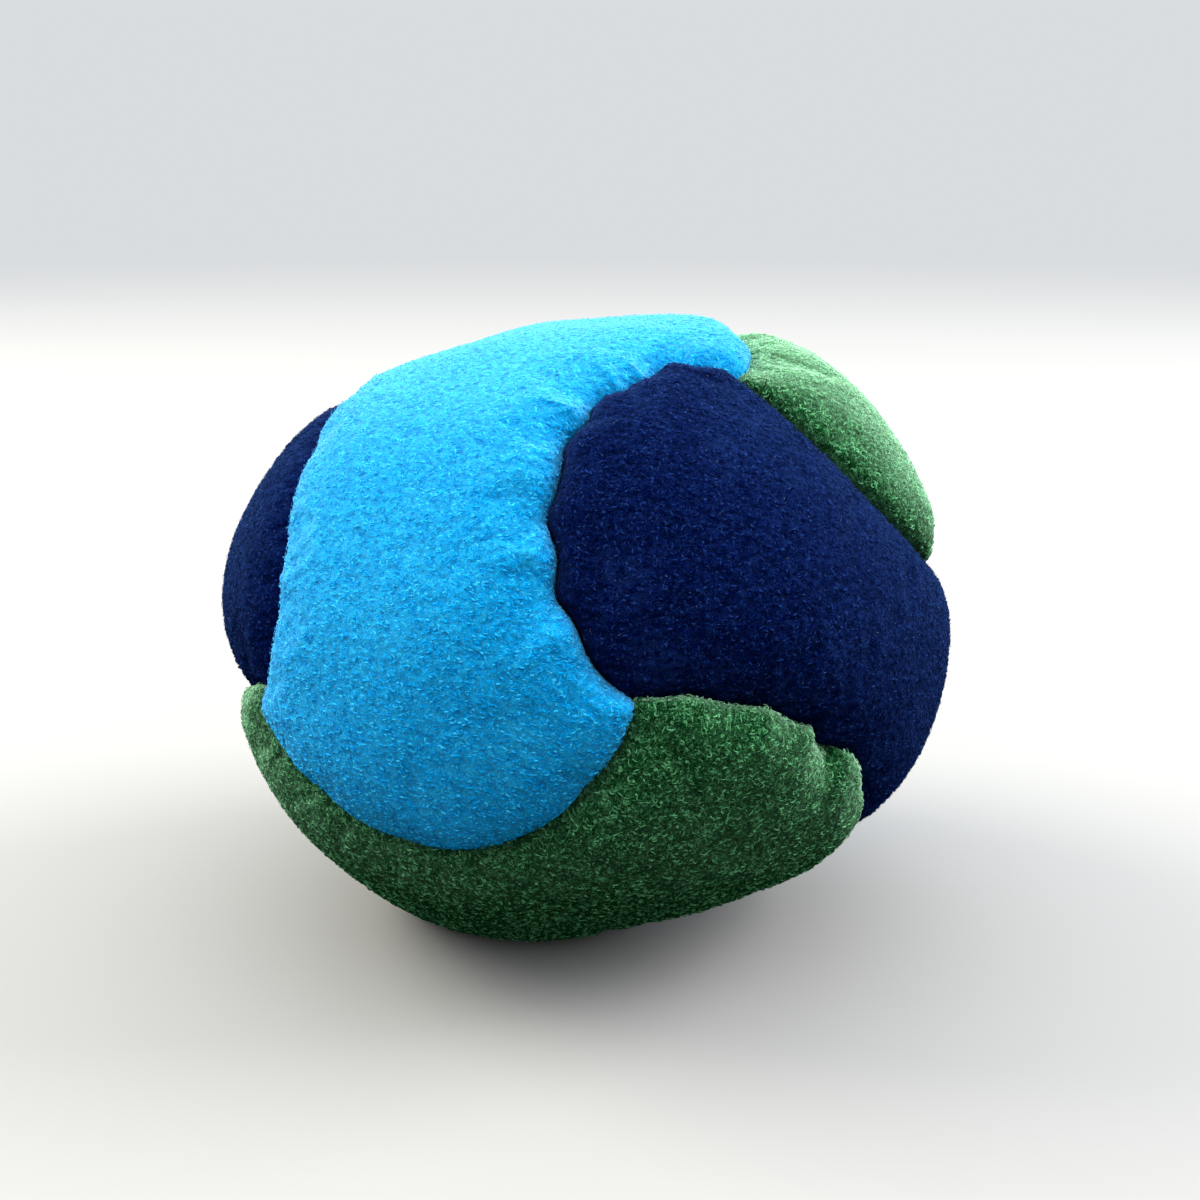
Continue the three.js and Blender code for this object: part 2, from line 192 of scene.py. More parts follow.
NAP_HEIGHT = 0.11
NAP_FADE = 0.15  # the nap is pressed flat this near to a seam
NAP_BENDS = 2.4  # the size of the bends in its rows of tufts
TUFTS = (0.75, 0.38)  # the length and width of a tuft
SMALL_TUFTS = (0.6, 0.34)
LATTICE = 256  # random values to a side before the nap repeats


def direction(azimuth, elevation):
    az, el = math.radians(azimuth), math.radians(elevation)
    return np.array([math.sin(az) * math.cos(el), -math.cos(az) * math.cos(el), math.sin(el)])


def between(ends, share):
    return ends[0] + share * (ends[1] - ends[0])


def unit(vectors):
    return vectors / np.linalg.norm(vectors, axis=-1, keepdims=True)


def panel_centre(name):
    return unit(sum(direction(*CORNERS[corner]) for corner in PANELS[name][0]))


# --- Seams ---


def lengths_along(points):
    steps = np.linalg.norm(np.diff(points, axis=0), axis=1)
    return np.concatenate([[0.0], np.cumsum(steps)])


def evenly_spaced(points, count):
    """The same curve, as `count` points evenly spaced along it."""
    along = lengths_along(points)
    wanted = np.linspace(0, along[-1], count)
    return np.stack([np.interp(wanted, along, points[:, k]) for k in range(3)], axis=1)


class Seam:
    """A seam's line on the unit sphere, wavy where its stitches pull it."""

    def __init__(self, number, ends, over, under, bow, blunt, skew, pull):
        self.ends, self.over, self.under, self.pull = ends, over, under, pull
        self.butted = pull > 0
        self.softness = np.linspace(*SOFTNESS.get(ends, EVEN_SOFTNESS), SEAM_SAMPLES)
        start, end = (direction(*CORNERS[corner]) for corner in ends)
        angle = math.acos(start @ end)
        sideways = unit(np.cross(start, end))
        if sideways @ (panel_centre(under) - panel_centre(over)) < 0:
            sideways = -sideways
        t = np.linspace(0, 1, SEAM_SAMPLES)[:, None]
        arc = (np.sin((1 - t) * angle) * start + np.sin(t * angle) * end) / math.sin(angle)
        bowed = math.radians(bow) * (4 * t * (1 - t)) ** blunt * (1 + skew * (2 * t - 1))
        line = unit(evenly_spaced(arc * np.cos(bowed) + sideways * np.sin(bowed), SEAM_SAMPLES))
        self.length = MEAN_RADIUS * lengths_along(line)[-1]
        self.beat = self._beat(np.random.default_rng(40 + number))
        across = unit(np.cross(line, np.gradient(line, axis=0)))
        if across[SEAM_SAMPLES // 2] @ sideways < 0:
            across = -across
        ease = np.sin(np.pi * t) ** 0.5
        wave = WAVE_HEIGHT * pull * ease * (self.beat[:, None] - WAVE_LEVEL)
        self.across = across
        self.line = unit(line + across * wave / MEAN_RADIUS)
        self.tangent = unit(np.gradient(self.line, axis=0))

    def _beat(self, rng):
        """Near 1 where a stitch pulls the seam in and near 0 between stitches."""
        stitches = max(3, round(self.length / STITCH_PITCH))
        pulls = (np.arange(stitches) + 0.5 + rng.normal(0, STITCH_STRAY, stitches)) / stitches
        strong = WEAKEST_PULL + (1 - WEAKEST_PULL) * rng.random(stitches)
        if self.ends in PULLS:
            pulls, strong = np.array(PULLS[self.ends]).T
        away = np.linspace(0, self.length, SEAM_SAMPLES)[:, None] - pulls * self.length
        return (strong * np.exp(-((away / PULL_WIDTH) ** 2))).max(axis=1)

    def gather(self, name):
        """How hard the stitches gather a panel along this seam."""
        onto = self.pull if name == self.under else -self.pull
        return max(onto, -OTHER_SHARE * onto)

    def chain(self, start, cells):
        """The seam as cells + 1 evenly spaced points, starting at the corner named."""
        chain = unit(evenly_spaced(self.line, cells + 1))
        return chain if self.ends[0] == start else chain[::-1]

    def measure(self, dirs):
        """How far each direction is from the seam, in mm, and the nearest sample's index."""
        flat = dirs.reshape(-1, 3)
        nearest = np.concatenate(
            [np.argmax(part @ self.line.T, axis=1) for part in np.array_split(flat, 16)]
        )
        offset = flat - self.line[nearest]
        along = (offset * self.tangent[nearest]).sum(axis=1)
        ends = (nearest == 0) | (nearest == SEAM_SAMPLES - 1)
        square = (offset**2).sum(axis=1) - np.where(ends, 0, along**2)
        distance = MEAN_RADIUS * np.sqrt(np.maximum(square, 0))
        return distance.reshape(dirs.shape[:-1]), nearest.reshape(dirs.shape[:-1])


seams = [Seam(number, *spec) for number, spec in enumerate(SEAMS)]


def seam_between(first, second):
    return next(s for s in seams if set(s.ends) == {first, second})


def panel_seams(name):
    return [s for s in seams if name in (s.over, s.under)]


# --- A panel's grid of directions ---


def outline(name, cells):
    """A panel's outline as one closed loop of directions, `cells` to a side."""
    corners = PANELS[name][0]
    sides = []
    for start, end in zip(corners, corners[1:] + corners[0]):
        sides.append(seam_between(start, end).chain(start, cells)[:-1])
    return np.concatenate(sides)


def inset(loop, distance):
    """The loop moved a distance in mm into the panel, mitred at its corners."""
    inward = unit(np.cross(loop, np.roll(loop, -1, axis=0)))
    before = np.roll(inward, 1, axis=0)
    mitre = (before + inward) / (1 + (before * inward).sum(axis=1, keepdims=True))
    return unit(loop + mitre * distance / MEAN_RADIUS)


def axes_about(centre):
    across = unit(np.cross([0.0, 0.0, 1.0], centre))
    return np.stack([across, np.cross(centre, across), centre])


def to_plane(dirs, axes):
    """Stereographic coordinates about the third axis."""
    local = dirs @ axes.T
    return local[..., :2] / (1 + local[..., 2:])


def to_sphere(points, axes):
    square = (points**2).sum(axis=-1, keepdims=True)
    return np.concatenate([2 * points, 1 - square], axis=-1) @ axes / (1 + square)


def blended_grid(loop):
    """A first grid, blended from the four sides of a loop in the plane (a Coons patch)."""
    n = len(loop) // 4
    closed = np.concatenate([loop, loop[:1]])
    near, right, far, left = (closed[k * n : (k + 1) * n + 1] for k in range(4))
    far, left = far[::-1], left[::-1]
    u = np.linspace(0, 1, n + 1)[:, None, None]
    v = np.linspace(0, 1, n + 1)[None, :, None]
    sides = (1 - v) * near[:, None] + v * far[:, None] + (1 - u) * left[None] + u * right[None]
    corners = (1 - u) * ((1 - v) * near[0] + v * far[0]) + u * ((1 - v) * near[-1] + v * far[-1])
    return sides - corners


def relax(grid, passes):
    """Evens a grid out so that it never folds (elliptic, or Winslow, smoothing)."""
    for _ in range(passes):
        across = (grid[2:, 1:-1] - grid[:-2, 1:-1]) / 2
        along = (grid[1:-1, 2:] - grid[1:-1, :-2]) / 2
        alpha = (along**2).sum(axis=-1, keepdims=True)
        gamma = (across**2).sum(axis=-1, keepdims=True)
        beta = (across * along).sum(axis=-1, keepdims=True)
        twist = (grid[2:, 2:] - grid[2:, :-2] - grid[:-2, 2:] + grid[:-2, :-2]) / 4
        pull = alpha * (grid[2:, 1:-1] + grid[:-2, 1:-1]) + gamma * (grid[1:-1, 2:] + grid[1:-1, :-2])
        target = (pull - 2 * beta * twist) / (2 * (alpha + gamma) + 1e-12)
        grid[1:-1, 1:-1] += RELAX_STEP * (target - grid[1:-1, 1:-1])
    return grid


def doubled(grid):
    n = len(grid) - 1
    fine = np.zeros((2 * n + 1, 2 * n + 1, 2))
    fine[::2, ::2] = grid
    fine[1::2, ::2] = (grid[1:] + grid[:-1]) / 2
    fine[:, 1::2] = (fine[:, :-1:2] + fine[:, 2::2]) / 2
    return fine


def panel_grid(name, margin, doublings):
    """Even rows of directions over a panel, from a margin in mm inside its outline.

    Returns the directions and their flat coordinates on the cloth in mm.
    """
    axes = axes_about(panel_centre(name))
    grid = None
    for level in range(doublings + 1):
        loop = inset(outline(name, COARSE_CELLS * 2**level), margin)
        first = blended_grid(to_plane(loop, axes))
        if grid is not None:
            first[1:-1, 1:-1] = doubled(grid)[1:-1, 1:-1]
        grid = relax(first, RELAX_PASSES[level])
    return to_sphere(grid, axes), grid * 2 * MEAN_RADIUS


# --- Noise ---


def ripple(x, y, seed):
    """Smooth random values from -1 to 1 that change over a distance of about 1."""
    lattice = np.random.default_rng(seed).uniform(-1, 1, (LATTICE, LATTICE))
    ix, iy = np.floor(x).astype(int), np.floor(y).astype(int)
    fx, fy = x - ix, y - iy
    fx, fy = fx * fx * (3 - 2 * fx), fy * fy * (3 - 2 * fy)
    x0, x1, y0, y1 = ix % LATTICE, (ix + 1) % LATTICE, iy % LATTICE, (iy + 1) % LATTICE
    low = lattice[x0, y0] * (1 - fx) + lattice[x1, y0] * fx
    high = lattice[x0, y1] * (1 - fx) + lattice[x1, y1] * fx
    return low * (1 - fy) + high * fy


def turned(points, angle):
    x, y = points[..., 0], points[..., 1]
    return x * math.cos(angle) + y * math.sin(angle), y * math.cos(angle) - x * math.sin(angle)


def lumps(dirs, seed):
    """The uneven push of the pellets, in mm: the same from either side of a seam."""
    rng = np.random.default_rng(seed)
    waves = rng.normal(0, MEAN_RADIUS / LUMP_SIZE * 1.6, (LUMP_WAVES, 3))
    phases = rng.uniform(0, 2 * np.pi, LUMP_WAVES)
    height = np.cos(dirs @ waves.T + phases).sum(axis=-1) / math.sqrt(LUMP_WAVES / 2)
    return LUMP_HEIGHT * height


def nap_height(plane, seed):
    """Tufts of short fibres, from 0 at their roots to 1 at their tips."""
    lay = np.random.default_rng(seed).uniform(0, np.pi)
    x, y = turned(plane, lay)
    bend = 0.5 * ripple(x / NAP_BENDS, y / NAP_BENDS, seed + 1)
    tufts = ripple(x / TUFTS[0] + bend, y / TUFTS[1] + bend, seed + 2)
    x, y = turned(plane, lay + 0.9)
    tufts += 0.8 * ripple(x / SMALL_TUFTS[0], y / SMALL_TUFTS[1], seed + 3)
    return np.clip(0.5 + 0.42 * tufts, 0, 1)


# --- The ball's surface ---


def body_radius(dirs):
    """Distance from the centre to the body, before seams and puffs."""
    x = dirs[..., 0] * math.cos(LEAN) + dirs[..., 2] * math.sin(LEAN)
    z = dirs[..., 2] * math.cos(LEAN) - dirs[..., 0] * math.sin(LEAN)
    radius = 1 / np.linalg.norm(np.stack([x, dirs[..., 1], z], axis=-1) / HALF_SIZES, axis=-1)
    for azimuth, elevation, width, height in BULGES:
        cosine = dirs @ direction(azimuth, elevation)
        radius = radius + height * np.exp((cosine - 1) / (1 - math.cos(math.radians(width))))
    return radius


def fold_radius(dirs):
    return body_radius(dirs) - FOLD_DEPTH


def quarter_round(distance, width):
    """1 at the bottom of a rolled edge, 0 from its width inwards."""
    x = np.clip(1 - distance / width, 0, 1)
    return 1 - np.sqrt(1 - x * x)


def cloth_edge(seam, name, dirs, under):
    """How the cloth dips and leans towards one of its panel's seams, and how far off that is."""
    distance, nearest = seam.measure(dirs)
    over = seam.over == name
    roll, dip = (OVER_ROLL, OVER_DIP) if over else (UNDER_ROLL, UNDER_DIP)
    if seam.butted:
        softness = seam.softness[nearest] if over else 1 - seam.softness[nearest]
        roll = between(BUTTED_ROLL, softness)
        dip = between(BUTTED_DIP, softness)
    edge = (FOLD_DEPTH - dip) * quarter_round(distance - under, roll - under)
    bowl = dip * np.exp(-distance / DIP_WIDTH)
    fade = distance / PUCKER_REACH
    crease = PUCKER_DEPTH * seam.gather(name) * fade * np.exp(1 - fade - 0.15 * fade**2)
    crease = crease * (np.minimum(seam.beat[nearest], 1) - PUCKER_LEVEL)
    turn = np.clip(1 - distance / roll, 0, 1) ** 1.5
    lean = (OVERHANG if over and not seam.butted else 0.0) * np.sin(np.pi * turn)
    return edge + bowl + crease, seam.across[nearest] * lean[..., None], distance


def tuck_drop(dirs):
    """How far the small fold sinks the cloth: steep on its left and gentle on its right."""
    start, end = direction(*TUCK_START), direction(*TUCK_END)
    run = end - start
    share = np.clip((dirs - start) @ run / (run @ run), 0, 1)
    away = dirs - start - share[..., None] * run
    off = MEAN_RADIUS * np.linalg.norm(away, axis=-1)
    right = away @ unit(np.cross(start, run)) < 0
    width = np.where(right, TUCK_WIDTHS[1], TUCK_WIDTHS[0])
    return TUCK_DEPTH * (1 - share) ** TUCK_FADE * np.exp(-((off / width) ** 2))


def cloth_points(name, dirs, under):
    """A panel's cloth, `under` mm below its outer face.

    Returns its points, their distance to the nearest seam and how far they dip towards it.
    """
    edges = [cloth_edge(seam, name, dirs, under) for seam in panel_seams(name)]
    dips = np.stack([edge[0] for edge in edges])
    nearest = np.min([edge[2] for edge in edges], axis=0)
    drop = (np.maximum(dips, 0) ** CORNER_SHARPNESS).sum(axis=0) ** (1 / CORNER_SHARPNESS)
    drop += np.minimum(dips, 0).sum(axis=0)
    puff = PANELS[name][2] * (1 - np.exp(-((nearest / PUFF_WIDTH) ** 2)))
    swell = lumps(dirs, 5) * np.clip(nearest / OVER_ROLL, 0, 1)
    if name == TUCK_PANEL and under == 0:
        drop = drop + tuck_drop(dirs)
    radius = body_radius(dirs) + puff + swell - drop - under
    points = dirs * radius[..., None] + sum(edge[1] for edge in edges)
    points[..., 2] = settled(points[..., 2] + CENTRE_HEIGHT, under)
    return points, nearest, drop


def settled(height, under):
    """Heights pressed flat on the floor, with a soft turn where the underside leaves it."""
    gap = np.clip(0.5 + 0.5 * (height - under) / FLOOR_BLEND, 0, 1)
    return under + (height - under) * gap + FLOOR_BLEND * gap * (1 - gap)


def normals_of(points):
    across = np.gradient(points, axis=0)
    along = np.gradient(points, axis=1)
    return unit(np.cross(across, along))


# --- Meshes ---


def grid_faces(rows, first, flipped=False):
    """Quads over a rows x rows grid of vertices numbered from `first`."""
    index = first + np.arange(rows * rows).reshape(rows, rows)
    quads = np.stack([index[:-1, :-1], index[1:, :-1], index[1:, 1:], index[:-1, 1:]], axis=-1)
    return quads.reshape(-1, 4)[:, :: -1 if flipped else 1]


def grid_edge(rows, first):
    """The vertices round such a grid, in the order of the loop it was made from."""
    index = first + np.arange(rows * rows).reshape(rows, rows)
    return np.concatenate([index[:-1, 0], index[-1, :-1], index[:0:-1, -1], index[0, :0:-1]])


def band_faces(lower, upper):
    """Quads between two closed loops of as many vertices."""
    return np.stack([lower, np.roll(lower, -1), np.roll(upper, -1), upper], axis=-1)


def taper_faces(fine, coarse):
    """Triangles between a fine closed loop and a coarse one inside it."""
    share = len(fine) // len(coarse)
    faces = []
    for k, here in enumerate(coarse):
        after = coarse[(k + 1) % len(coarse)]
        fan = [fine[(k * share + j) % len(fine)] for j in range(share + 1)]
        faces += [(here, fan[j + 1], fan[j]) for j in range(share)]
        faces.append((here, after, fan[-1]))
    return np.array(faces)


def add_object(name, data):
    obj = bpy.data.objects.new(name, data)
    bpy.context.scene.collection.objects.link(obj)
    return obj


def new_mesh(name, points, faces):
    """An object from points in mm and a list of arrays of faces."""
    mesh = bpy.data.meshes.new(name)
    everything = [face for group in faces for face in group.tolist()]
    mesh.from_pydata((points * MM).tolist(), [], everything)
    mesh.polygons.foreach_set("use_smooth", np.full(len(mesh.polygons), True))
    mesh.update()
    return add_object(name, mesh)


def add_value(data, name, values):
    """Gives a mesh or curves one value for each point."""
    attribute = data.attributes.new(name, "FLOAT", "POINT")
    attribute.data.foreach_set("value", values.astype(np.float32))


# --- Cloth simulation ---

SIM_STEP = 4  # cells of the fine grid to one of the simulated cloth
SIM_SIZE = 10.0  # times real size, which the cloth solver handles better
SIM_FRAMES = 16
SIM_GROWTH = 0.035  # how much bigger the cut cloth is than the space it is sewn into
SIM_PRESSURE = 3.0
SIM_FREE = 2.0  # the cloth is held this near to a seam and freer further in
SIM_SMOOTH = 40  # smoothing passes that take the overall swelling out again
SIM_CAP = 0.8  # how far the simulation may move a point
SIM_SHARE = 0.6  # of what the simulation does to it


def simulated_cloth(name, points, nearest):
    """A temporary cloth of a panel's outer face, sewn down round its edge."""
    rows = len(points)
    obj = new_mesh("sim_" + name, points.reshape(-1, 3) * SIM_SIZE, [grid_faces(rows, 0)])
    held = obj.vertex_groups.new(name="held")
    weights = np.exp(-((nearest.ravel() / SIM_FREE) ** 2))
    weights[grid_edge(rows, 0)] = 1
    for index, weight in enumerate(weights):
        if weight > 0.02:
            held.add([index], float(weight), "REPLACE")
    cloth = obj.modifiers.new("cloth", "CLOTH")
    cloth.settings.vertex_group_mass = "held"
    cloth.settings.quality = 6
    cloth.settings.mass = 0.2
    cloth.settings.bending_stiffness = 0.6
    cloth.settings.use_pressure = True
    cloth.settings.uniform_pressure_force = SIM_PRESSURE
    cloth.settings.shrink_min = -SIM_GROWTH
    cloth.settings.effector_weights.gravity = 0
    cloth.collision_settings.use_collision = False
    cloth.point_cache.frame_end = SIM_FRAMES
    return obj


def smoothed(grid, passes):
    """A grid's inner values, each averaged with its neighbours over and over."""
    grid = grid.copy()
    for _ in range(passes):
        beside = grid[2:, 1:-1] + grid[:-2, 1:-1] + grid[1:-1, 2:] + grid[1:-1, :-2]
        grid[1:-1, 1:-1] = 0.5 * grid[1:-1, 1:-1] + 0.125 * beside
    return grid


def spline_weights(cells, step):
    """Weights that carry a coarse row of values to a fine one along a smooth (cubic) curve."""
    where = np.arange(cells * step + 1) / step
    first = np.minimum(where.astype(int), cells - 1)
    u = where - first
    spline = [-u + 2 * u**2 - u**3, 2 - 5 * u**2 + 3 * u**3, u + 4 * u**2 - 3 * u**3, u**3 - u**2]
    weights = np.zeros((len(where), cells + 1))
    for shift, part in zip((-1, 0, 1, 2), spline):
        column = np.clip(first + shift, 0, cells)
        np.add.at(weights, (np.arange(len(where)), column), part / 2)
    return weights


def sewn_shifts(faces):
    """How the cloth gathers and creases when it is sewn in: a shift for each panel's points."""
    sims = {}
    for name, (points, nearest) in faces.items():
        coarse = points[::SIM_STEP, ::SIM_STEP], nearest[::SIM_STEP, ::SIM_STEP]
        sims[name] = simulated_cloth(name, *coarse), coarse[0]
    for number in range(1, SIM_FRAMES + 1):
        bpy.context.scene.frame_set(number)
    graph = bpy.context.evaluated_depsgraph_get()
    shifts = {}
    for name, (obj, start) in sims.items():
        flat = np.zeros(start.size, np.float32)
        obj.evaluated_get(graph).data.vertices.foreach_get("co", flat)
        shift = flat.reshape(start.shape) / (SIM_SIZE * MM) - start
        shift -= smoothed(shift, SIM_SMOOTH)
        length = np.linalg.norm(shift, axis=-1, keepdims=True)
        shift *= SIM_CAP * np.tanh(SIM_SHARE * length / SIM_CAP) / np.maximum(length, 1e-6)
        weights = spline_weights(len(start) - 1, SIM_STEP)
        shifts[name] = np.einsum("ia,abk,jb->ijk", weights, shift, weights)
        bpy.data.objects.remove(obj, do_unlink=True)
    bpy.context.scene.frame_set(1)
    return shifts


# --- Panels ---


def hem_loop(loop, drop):
    """A loop of the turned-in edge, `drop` mm below the fold."""
    points = loop * (fold_radius(loop) - drop)[:, None]
    return points + [0, 0, CENTRE_HEIGHT]


def panel_faces():
    """Every panel's outer face: points, cloth coordinates, distances to a seam and dips."""
    faces = {}
    for name in PANELS:
        dirs, plane = panel_grid(name, SEAM_GAP / 2, DOUBLINGS)
        points, nearest, sunken = cloth_points(name, dirs, 0)
        faces[name] = points, plane, nearest, sunken
    shifts = sewn_shifts({name: (face[0], face[2]) for name, face in faces.items()})
    for name, shift in shifts.items():
        faces[name][0][:] += shift
    return faces


def make_panel(name, face, seed):
    """A panel's cloth as one closed solid: face, rolled edge, turned-in edge and lining."""
    points, plane, nearest, sunken = face
    nap = nap_height(plane, seed)
    fade = np.clip(nearest / NAP_FADE, 0, 1)
    normals = normals_of(points)
    points = points + normals * ((nap - 0.5) * NAP_HEIGHT * fade)[..., None]
    points[..., 2] = np.maximum(points[..., 2], FLOOR_CLEARANCE)

    rows = FACE_CELLS + 1
    outer = inset(outline(name, FACE_CELLS), SEAM_GAP / 2)
    lining_loop = inset(outline(name, LINING_CELLS), SEAM_GAP / 2 + CLOTH)
    lining_dirs, _ = panel_grid(name, SEAM_GAP / 2 + CLOTH, 2)
    lining = cloth_points(name, lining_dirs, CLOTH)[0]

    stack, faces = [points.reshape(-1, 3)], [grid_faces(rows, 0)]
    edge = grid_edge(rows, 0)
    count = rows * rows
    for drop in HEM_DROPS:
        stack.append(hem_loop(outer, drop))
        ring = count + np.arange(len(outer))
        faces.append(band_faces(ring, edge))
        edge, count = ring, count + len(outer)
    stack.append(hem_loop(lining_loop, ALLOWANCE))
    stack.append(hem_loop(lining_loop, LINING_DROP))
    ring = count + np.arange(len(lining_loop))
    faces += [taper_faces(edge, ring), band_faces(ring + len(ring), ring)]
    first = count + 2 * len(ring)
    stack.append(lining.reshape(-1, 3))
    faces.append(band_faces(grid_edge(LINING_CELLS + 1, first), ring + len(ring)))
    faces.append(grid_faces(LINING_CELLS + 1, first, flipped=True))

    obj = new_mesh("suede_" + name, np.concatenate(stack), faces)
    rest = len(obj.data.vertices) - rows * rows
    add_value(obj.data, "nap", np.concatenate([(nap * fade).ravel(), np.full(rest, 0.3)]))
    add_value(obj.data, "sunken", np.concatenate([sunken.ravel(), np.full(rest, FOLD_DEPTH)]))
    return obj, points, normals


# --- Fuzz ---

# Each cloth's fibres, first its tufts and then its fuzz: how many to a square mm, their length
# and radius in mm, how far they stand up in degrees, how much they curl and how well combed they are.
FIBRES = {
    "cyan": ((9, 0.50, 0.078, 10, 1.0, 0.9), (6, 0.50, 0.014, 26, 0.8, 0.5)),
    "navy": ((9, 0.50, 0.066, 16, 1.4, 0.5), (8, 0.50, 0.013, 30, 1.0, 0.3)),
    "green": ((17, 0.75, 0.050, 17, 2.2, 0.2), (6, 0.55, 0.015, 30, 1.2, 0.3)),
}
LINT_FIBRE = (0.25, 0.018, 20, 1.2, 0.0)  # the same, from the length on
COMBED_TOWARDS = (80, 0)  # azimuth and elevation in degrees
FIBRE_POINTS = 6
FIBRE_BLOCK = 4  # cells to the side of a block that gets its even share of fibres
FIBRE_SLOPE = (1.5, -0.6)  # at the root and the tip, times how far a fibre stands up
FIBRE_TAPER = ((0, 0.3, 0.7, 1), (0.6, 1.0, 0.9, 0.3))  # how far along, and its thickness there


def sampled(grid, across, along):
    """A grid's values between its points."""
    i, j = across.astype(int), along.astype(int)
    u, v = (across - i)[:, None], (along - j)[:, None]
    low = grid[i, j] * (1 - u) + grid[i + 1, j] * u
    high = grid[i, j + 1] * (1 - u) + grid[i + 1, j + 1] * u
    return low * (1 - v) + high * v


def scattered(points, normals, nearest, sunken, kind, rng):
    """One kind of fibre, scattered over a panel's cloth.

    Returns each one's points and its radius at each, and the cloth's normal and dip at its root.
    """
    per_area, length, radius, rise, curl, combed = kind
    sides = points[1:, :-1] - points[:-1, :-1], points[:-1, 1:] - points[:-1, :-1]
    area = np.linalg.norm(np.cross(*sides), axis=-1) * (nearest[:-1, :-1] > NAP_FADE)
    count = int(area.sum() * per_area * (1))
    block = np.arange(len(area)) // FIBRE_BLOCK
    by_block = np.argsort((block[:, None] * len(area) + block).ravel(), kind="stable")
    sums = np.cumsum(area.ravel()[by_block])
    chosen = (np.arange(count) + rng.random(count)) / count * sums[-1]
    cells = by_block[np.searchsorted(sums, chosen)]
    across = cells // len(area) + rng.random(count) * 0.999
    along = cells % len(area) + rng.random(count) * 0.999
    root = sampled(points, across, along)
    up = unit(sampled(normals, across, along))
    lay = rng.normal(0, 1, (count, 3)) + 2 * combed * direction(*COMBED_TOWARDS)
    lay = unit(lay - up * (lay * up).sum(axis=1, keepdims=True))
    side = np.cross(up, lay)
    turn = rng.normal(0, curl, count)
    lift = np.radians(rise * rng.uniform(0.3, 1.9, count))
    step = length * rng.uniform(0.6, 1.3, count) / (FIBRE_POINTS - 1)
    strand = [root - up * 0.5 * radius]
    for share in np.linspace(0, 1, FIBRE_POINTS - 1):
        heading = turn * (2 * share - 1)
        slope = lift * between(FIBRE_SLOPE, share)
        flat = lay * np.cos(heading)[:, None] + side * np.sin(heading)[:, None]
        ahead = flat * np.cos(slope)[:, None] + up * np.sin(slope)[:, None]
        strand.append(strand[-1] + ahead * step[:, None])
    taper = np.interp(np.linspace(0, 1, FIBRE_POINTS), *FIBRE_TAPER)
    radii = radius * rng.uniform(0.6, 1.3, count)[:, None] * taper
    return np.stack(strand, axis=1), radii, up, sampled(sunken[..., None], across, along)[:, 0]


def make_fibres(name, points, normals, nearest, sunken, seed):
    """The tufts, the fuzz and the lint that lie on a panel's cloth."""
    rng = np.random.default_rng(seed)
    colour = PANELS[name][1]
    kinds = (*FIBRES[colour], (CLOTHS[colour]["lint"], *LINT_FIBRE))
    grown = [scattered(points, normals, nearest, sunken, kind, rng) for kind in kinds]
    strands, radii, ups, dips = (np.concatenate(parts) for parts in zip(*grown))
    strands[..., 2] = np.maximum(strands[..., 2], FLOOR_CLEARANCE)
    lint = np.arange(len(strands)) >= len(strands) - len(grown[-1][0])
    curves = bpy.data.hair_curves.new("fibres_" + name)
    curves.add_curves([FIBRE_POINTS] * len(strands))
    curves.points.foreach_set("position", (strands * MM).astype(np.float32).ravel())
    curves.points.foreach_set("radius", (radii * MM).astype(np.float32).ravel())
    skin = curves.attributes.new("skin", "FLOAT_VECTOR", "POINT")
    skin.data.foreach_set("vector", np.repeat(ups, FIBRE_POINTS, axis=0).astype(np.float32).ravel())
    add_value(curves, "lint", np.repeat(lint, FIBRE_POINTS))
    add_value(curves, "sunken", np.repeat(dips, FIBRE_POINTS))
    return add_object("fibres_" + name, curves)


# --- Stitching ---

THREAD_RADIUS = 0.25
PLIES = 3
PLY_OFFSET = 0.52 * THREAD_RADIUS  # from the thread's middle to each ply's
PLY_RADIUS = 0.46 * THREAD_RADIUS
PLY_SIDES = 6
TWIST_PITCH = 1.5
TWIST_STEPS = 8  # rings along one turn of the twist
STITCHES = 8
STITCH_SLANT = 0.2  # of a stitch, run along the seam by each crossing
STITCH_DEPTH = 1.8  # below the fold
STITCH_REACH = 1.75  # from the seam out to the thread's run inside the fold
KNOT_TURNS = 3
KNOT_RADIUS = 1.1 * THREAD_RADIUS  # of its turns
KNOT_THREAD = 0.8 * THREAD_RADIUS


def beside(line, share, across):
    """A point `share` of the way along a seam, below its fold and `across` mm to one side."""
    spot = np.clip(share, 0, 1) * (SEAM_SAMPLES - 1)
    i = np.minimum(int(spot), SEAM_SAMPLES - 2)
    ahead = line[i + 1] - line[i]
    here = unit(line[i] + ahead * (spot - i))
    here = unit(here + np.cross(unit(ahead), here) * across / MEAN_RADIUS)
    return here * (fold_radius(here) - STITCH_DEPTH) + [0, 0, CENTRE_HEIGHT]


def ladder_path(seam):
    """The thread's bends: across the seam, along inside the fold, and across again."""
    line = unit(evenly_spaced(seam.line, SEAM_SAMPLES))
    bends = []
    for stitch in range(STITCHES):
        middle = stitch + 0.5
        across = STITCH_REACH if stitch % 2 else -STITCH_REACH
        for way in (1, -1):
            share = (middle - way * STITCH_SLANT / 2) / STITCHES
            bends.append(beside(line, share, across * way))
    return np.array(bends)


def knot_path(centre, along, radius):
    """Small turns wound round the thread's end."""
    side = unit(np.cross(along, centre))
    other = np.cross(along, side)
    turns = np.linspace(0, 2 * np.pi * KNOT_TURNS, 12 * KNOT_TURNS + 1)[:, None]
    shift = along * (turns / turns[-1] - 0.5) * radius
    return centre + shift + radius * (side * np.cos(turns) + other * np.sin(turns))


